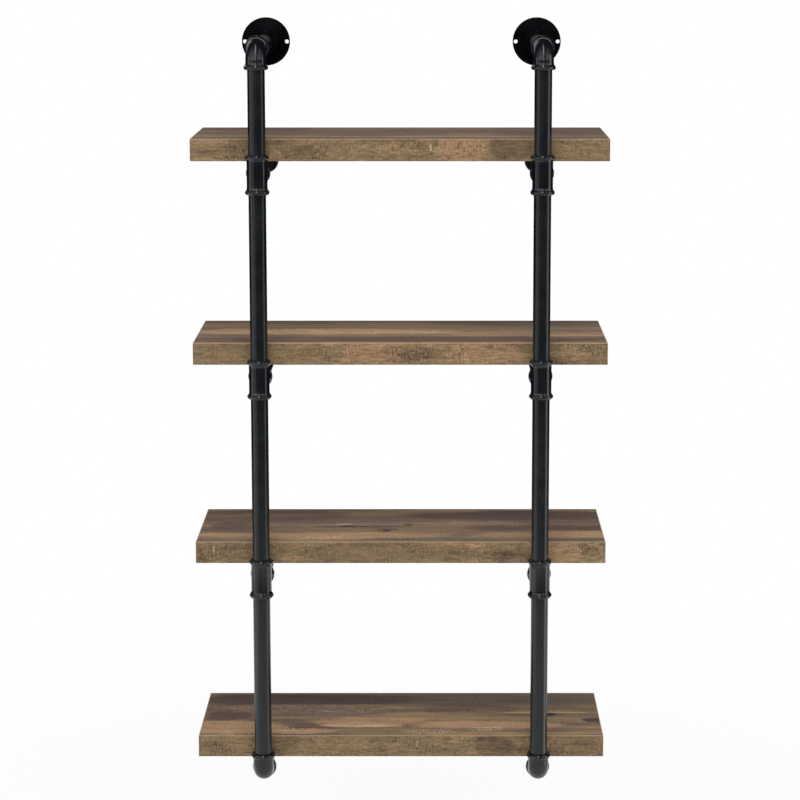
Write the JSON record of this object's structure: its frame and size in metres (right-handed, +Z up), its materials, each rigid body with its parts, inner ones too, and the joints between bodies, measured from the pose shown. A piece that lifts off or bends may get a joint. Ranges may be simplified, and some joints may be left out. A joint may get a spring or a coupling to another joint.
{
  "type": "wall shelf",
  "caption": "Wall shelf with wood-look boards one above another, carried under their ends by two black pipe frames that hang from round wall flanges.",
  "frame": {"origin": "on the wall's face, midway between the centres of the two wall flanges", "axes": "+X to the right along the shelves, +Y into the wall, +Z up"},
  "size_m": [0.6, 0.2465, 1.1171],
  "materials": {
    "black_metal": "satin to gloss black powder coat",
    "shelf_laminate": "matt rustic wood-look laminate with saw marks",
    "edge_band": "matt wood-look edge band",
    "screw_metal": "black oxide"
  },
  "bodies": {
    "root": {"left_wall_flange": "black_metal", "left_top_arm": "black_metal", "left_top_elbow": "black_metal", "left_post_1": "black_metal", "left_tee_1": "black_metal", "left_bar_1": "black_metal", "left_wall_cap_1": "black_metal", "left_post_2": "black_metal", "left_tee_2": "black_metal", "left_bar_2": "black_metal", "left_wall_cap_2": "black_metal", "left_post_3": "black_metal", "left_tee_3": "black_metal", "left_bar_3": "black_metal", "left_wall_cap_3": "black_metal", "left_post_4": "black_metal", "left_bottom_elbow": "black_metal", "left_bar_4": "black_metal", "left_wall_cap_4": "black_metal", "right_wall_flange": "black_metal", "right_top_arm": "black_metal", "right_top_elbow": "black_metal", "right_post_1": "black_metal", "right_tee_1": "black_metal", "right_bar_1": "black_metal", "right_wall_cap_1": "black_metal", "right_post_2": "black_metal", "right_tee_2": "black_metal", "right_bar_2": "black_metal", "right_wall_cap_2": "black_metal", "right_post_3": "black_metal", "right_tee_3": "black_metal", "right_bar_3": "black_metal", "right_wall_cap_3": "black_metal", "right_post_4": "black_metal", "right_bottom_elbow": "black_metal", "right_bar_4": "black_metal", "right_wall_cap_4": "black_metal", "shelf_1_board": "shelf_laminate", "shelf_1_front_edging": "edge_band", "shelf_1_back_edging": "edge_band", "shelf_1_end_edgings": "edge_band", "shelf_1_screws": "screw_metal", "shelf_2_board": "shelf_laminate", "shelf_2_front_edging": "edge_band", "shelf_2_back_edging": "edge_band", "shelf_2_end_edgings": "edge_band", "shelf_2_screws": "screw_metal", "shelf_3_board": "shelf_laminate", "shelf_3_front_edging": "edge_band", "shelf_3_back_edging": "edge_band", "shelf_3_end_edgings": "edge_band", "shelf_3_screws": "screw_metal", "shelf_4_board": "shelf_laminate", "shelf_4_front_edging": "edge_band", "shelf_4_back_edging": "edge_band", "shelf_4_end_edgings": "edge_band", "shelf_4_screws": "screw_metal"}
  },
  "joints": []
}
